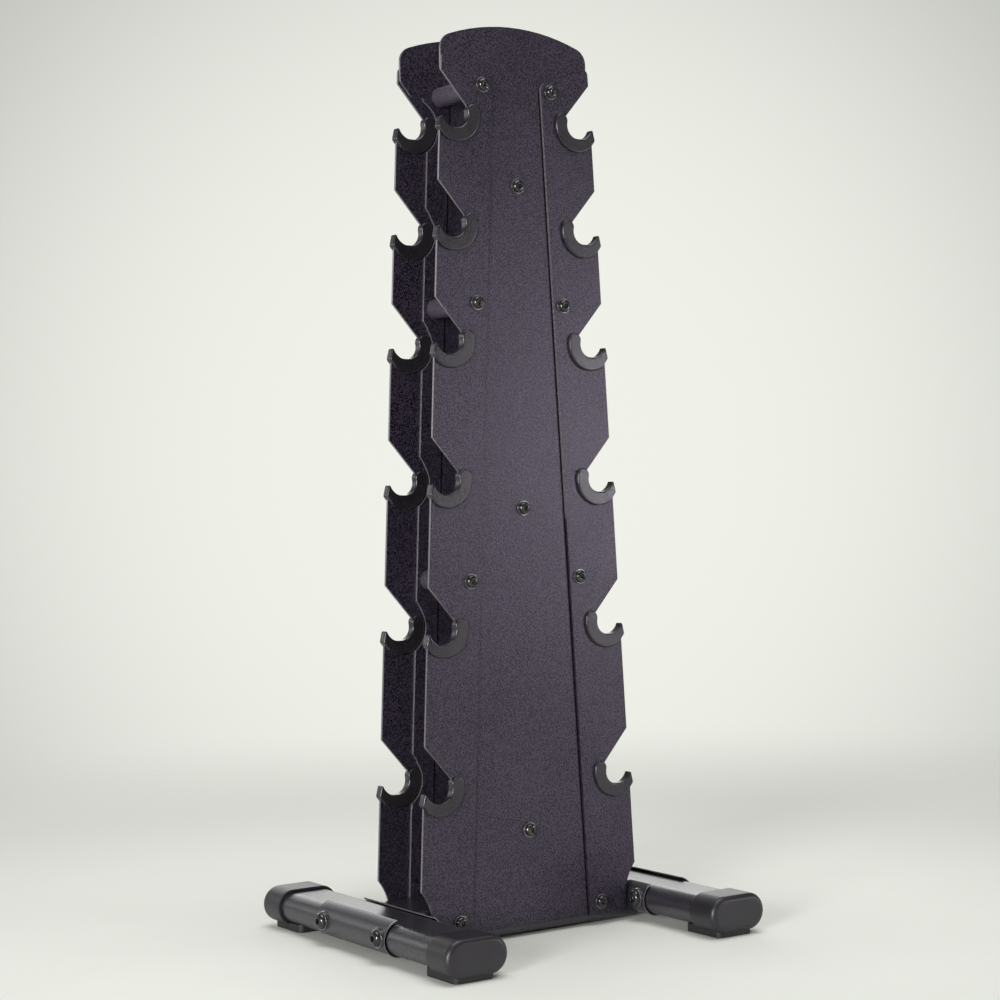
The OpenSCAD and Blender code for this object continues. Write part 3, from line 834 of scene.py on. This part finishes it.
# ---------------------------------------------------------------- end caps and pads
def cap_piece(fy, fx):
    node = "end_cap_%s_%s" % (fy, fx)
    lo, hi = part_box(node)
    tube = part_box("%s_foot_tube" % fx)
    cx = (lo.x + hi.x) / 2
    w = hi.x - lo.x
    h = 2 * (hi.z - (tube[0].z + tube[1].z) / 2)
    cz = (tube[0].z + tube[1].z) / 2
    tw, th = tube[1].x - tube[0].x + 0.0002, tube[1].z - tube[0].z + 0.0002
    s = -1.0 if fy == "front" else 1.0
    face = lo.y if s < 0 else hi.y            # closed end
    rim = hi.y if s < 0 else lo.y             # open end
    floor = lo.z
    e = 6.0 * MM
    rings = []

    def ring(ins, y, fl=True, ww=w, hh=h):
        return obround_ring(ww - 2 * ins, hh - 2 * ins, y, cx, cz, floor if fl else None, 40)

    # from the middle of the closed face outwards
    for ins, dy in ((h / 2 - 0.002, 0.0), (h / 2 - 0.008, 0.0), (0.0095, 0.0)):
        rings.append(ring(ins, face - s * dy))
    for k in range(0, 9):
        t = math.radians(90.0 * k / 8)
        rings.append(ring(e * (1 - math.sin(t)), face - s * e * (1 - math.cos(t))))
    rings.append(ring(0.0, rim + s * 0.0035))
    rings.append(ring(0.0, rim + s * 0.0009))
    rings.append(ring(0.00025, rim + s * 0.00025))
    rings.append(ring(0.0009, rim))
    rings.append(obround_ring(tw + 0.0008, th + 0.0008, rim, cx, cz, floor, 40))
    rings.append(obround_ring(tw, th, rim + s * 0.0006, cx, cz, floor, 40))
    rings.append(obround_ring(tw, th, face - s * 0.004, cx, cz, floor, 40))
    rings.append(obround_ring(tw - 0.02, th - 0.02, face - s * 0.004, cx, cz, floor, 40))
    me = rings_mesh(node + "_cup", rings)
    o = add_object("moulded_" + node, me, M_CAP)
    smooth(o, 40)
    return finish_piece(o, node)


def pad_piece(fy, fx):
    node = "foot_pad_%s_%s" % (fy, fx)
    lo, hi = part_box(node)
    cap_lo, cap_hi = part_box("end_cap_%s_%s" % (fy, fx))
    z1 = cap_lo.z
    cx, cy = (lo.x + hi.x) / 2, (lo.y + hi.y) / 2
    hx, hy = (hi.x - lo.x) / 2, (hi.y - lo.y) / 2
    pts = []
    rr = 0.008
    for sx, sy, a0 in ((1, 1, 0), (-1, 1, 90), (-1, -1, 180), (1, -1, 270)):
        for i in range(10):
            a = math.radians(a0 + 10.0 * i)
            pts.append((cx + sx * (hx - rr) + rr * math.cos(a), cy + sy * (hy - rr) + rr * math.sin(a)))
    top = z1 + 0.0029
    rings = []

    def flat(ins, z):
        return [(p[0], p[1], z) for p in inset(pts, ins)]

    rings += [flat(0.0016, lo.z), flat(0.0007, lo.z), flat(0.0002, lo.z + 0.0002), flat(0.0, lo.z + 0.0007)]
    rings += [flat(0.0, top - 0.0008), flat(0.00025, top - 0.0002), flat(0.0009, top), flat(0.002, top)]
    o = add_object("rubber_" + node, rings_mesh(node + "_sole", rings), M_PAD)
    return o, node


for fy in ("front", "rear"):
    for fx in ("left", "right"):
        cap = cap_piece(fy, fx)
        pad, node = pad_piece(fy, fx)
        # hollow the pad to the shape of the cap and tube that sit in it
        lo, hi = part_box("end_cap_%s_%s" % (fy, fx))
        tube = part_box("%s_foot_tube" % fx)
        cx, cz = (lo.x + hi.x) / 2, (tube[0].z + tube[1].z) / 2
        s = -1.0 if fy == "front" else 1.0
        face, rim = (lo.y, hi.y) if s < 0 else (hi.y, lo.y)
        w, h = hi.x - lo.x, 2 * (hi.z - cz)
        rings = []
        for k in range(0, 9):
            t = math.radians(90.0 * k / 8)
            ins = 0.006 * (1 - math.sin(t))
            rings.append(obround_ring(w - 2 * ins, h - 2 * ins, face - s * 0.006 * (1 - math.cos(t)), cx, cz, lo.z, 40))
        rings.append(obround_ring(w, h, rim, cx, cz, lo.z, 40))
        tool = add_object("cap_tool", rings_mesh("cap_tool", rings), M_PAD)
        tw, th = tube[1].x - tube[0].x, tube[1].z - tube[0].z
        tool2 = add_object("tube_tool", rings_mesh("tube_tool", [obround_ring(tw, th, rim + s * 0.002, cx, cz, None, 40),
                                                                obround_ring(tw, th, rim - s * 0.06, cx, cz, None, 40)]), M_PAD)
        cut(pad, tool, tool2)
        bpy.data.objects.remove(tool)
        bpy.data.objects.remove(tool2)
        smooth(pad, 36)
        finish_piece(pad, node)


# ---------------------------------------------------------------- floor, world and light
def stage_floor():
    me = bpy.data.meshes.new("studio_floor")
    bm = bmesh.new()
    bmesh.ops.create_circle(bm, cap_ends=True, cap_tris=False, segments=96, radius=6.0)
    bm.to_mesh(me)
    bm.free()
    m = bpy.data.materials.new("studio_floor")
    m.use_nodes = True
    nt = m.node_tree
    nt.nodes.clear()
    out = nt.nodes.new("ShaderNodeOutputMaterial")
    dif = nt.nodes.new("ShaderNodeBsdfDiffuse")
    tr = nt.nodes.new("ShaderNodeBsdfTransparent")
    mix = nt.nodes.new("ShaderNodeMixShader")
    geo = nt.nodes.new("ShaderNodeNewGeometry")
    ln = nt.nodes.new("ShaderNodeVectorMath")
    ln.operation = "LENGTH"
    nt.links.new(geo.outputs["Position"], ln.inputs[0])
    fade = remap(nt, ln.outputs["Value"], 0.55, 2.3, 0.0, 1.0, "SMOOTHERSTEP")
    g = noise(nt, geo.outputs["Position"], 6.0, 3.0, 0.5)
    tone = ramp(nt, g, [(0.3, (0.812, 0.820, 0.770)), (0.7, (0.828, 0.836, 0.785))])
    # painted shade: the floor colour darkens from 0.4 m to 1.1 m out, standing in for the light falling off away from
    # the middle
    edge = remap(nt, ln.outputs["Value"], 0.40, 1.10, 0.0, 1.0, "SMOOTHSTEP")
    nt.links.new(mix_color(nt, edge, tone, (0.715, 0.722, 0.679)), dif.inputs["Color"])
    nt.links.new(fade, mix.inputs[0])
    nt.links.new(dif.outputs[0], mix.inputs[1])
    nt.links.new(tr.outputs[0], mix.inputs[2])
    nt.links.new(mix.outputs[0], out.inputs["Surface"])
    o = add_object("studio_floor", me, m)
    return o


stage_floor()

world = bpy.data.worlds.new("studio")
bpy.context.scene.world = world
world.use_nodes = True
nt = world.node_tree
nt.nodes.clear()
out = nt.nodes.new("ShaderNodeOutputWorld")
bg = nt.nodes.new("ShaderNodeBackground")
nt.links.new(bg.outputs[0], out.inputs["Surface"])
direction = nt.nodes.new("ShaderNodeTexCoord").outputs["Generated"]
dot = nt.nodes.new("ShaderNodeVectorMath")
dot.operation = "DOT_PRODUCT"
nt.links.new(direction, dot.inputs[0])
dot.inputs[1].default_value = (0.566, 0.824, 0.02)
sep = nt.nodes.new("ShaderNodeSeparateXYZ")
nt.links.new(direction, sep.inputs[0])
spot = remap(nt, dot.outputs["Value"], 0.935, 1.0, 0.0, 1.0, "SMOOTHSTEP")
round_ = remap(nt, dot.outputs["Value"], -1.0, 0.925, 0.0, 1.0, "LINEAR")
level = math_node(nt, "ADD", math_node(nt, "MULTIPLY", spot, 0.36), math_node(nt, "MULTIPLY", round_, 0.16))
level = math_node(nt, "ADD", level, 0.35)
# darker overhead, and lower down on the viewer's side of the studio
behind = remap(nt, dot.outputs["Value"], -0.1, 0.6, 0.0, 1.0, "SMOOTHSTEP")
high = remap(nt, sep.outputs["Z"], 0.26, 0.62, 1.0, 0.30, "SMOOTHSTEP")
near = remap(nt, sep.outputs["Z"], 0.0, 0.24, 1.0, 0.26, "SMOOTHSTEP")
fall = math_node(nt, "ADD", math_node(nt, "MULTIPLY", high, behind),
                 math_node(nt, "MULTIPLY", near, math_node(nt, "SUBTRACT", 1.0, behind)))
level = math_node(nt, "MULTIPLY", level, fall)
tone = nt.nodes.new("ShaderNodeCombineXYZ")
nt.links.new(math_node(nt, "MULTIPLY", level, 1.0), tone.inputs[0])
nt.links.new(math_node(nt, "MULTIPLY", level, 1.012), tone.inputs[1])
nt.links.new(math_node(nt, "MULTIPLY", level, 0.94), tone.inputs[2])
nt.links.new(tone.outputs[0], bg.inputs["Color"])
bg.inputs["Strength"].default_value = 1.0


def area(name, at, look, size, power, color=(1, 1, 1)):
    d = bpy.data.lights.new(name, "AREA")
    d.shape = "RECTANGLE"
    d.size, d.size_y = size
    d.energy = power
    d.color = color
    o = bpy.data.objects.new(name, d)
    bpy.context.scene.collection.objects.link(o)
    o.location = at
    o.rotation_mode = "QUATERNION"
    o.rotation_quaternion = (Vector(look) - Vector(at)).to_track_quat("-Z", "Y")
    o.visible_camera = False
    return o


area("softbox_left", (-3.8, -2.3, 0.85), (0, 0, 0.5), (1.25, 1.6), 205)
area("softbox_rear_left", (-2.0, 2.7, 1.25), (0, 0, 0.55), (1.0, 1.3), 6)
area("softbox_front_right", (3.35, -3.20, 0.644), (0, 0, 0.50), (1.35, 0.60), 36)
area("softbox_back", (1.45, 2.9, 1.35), (0, 0, 0.1), (3.8, 1.0), 32)
area("softbox_top", (0.0, -0.3, 3.1), (0, 0, 0.3), (2.4, 2.4), 64)
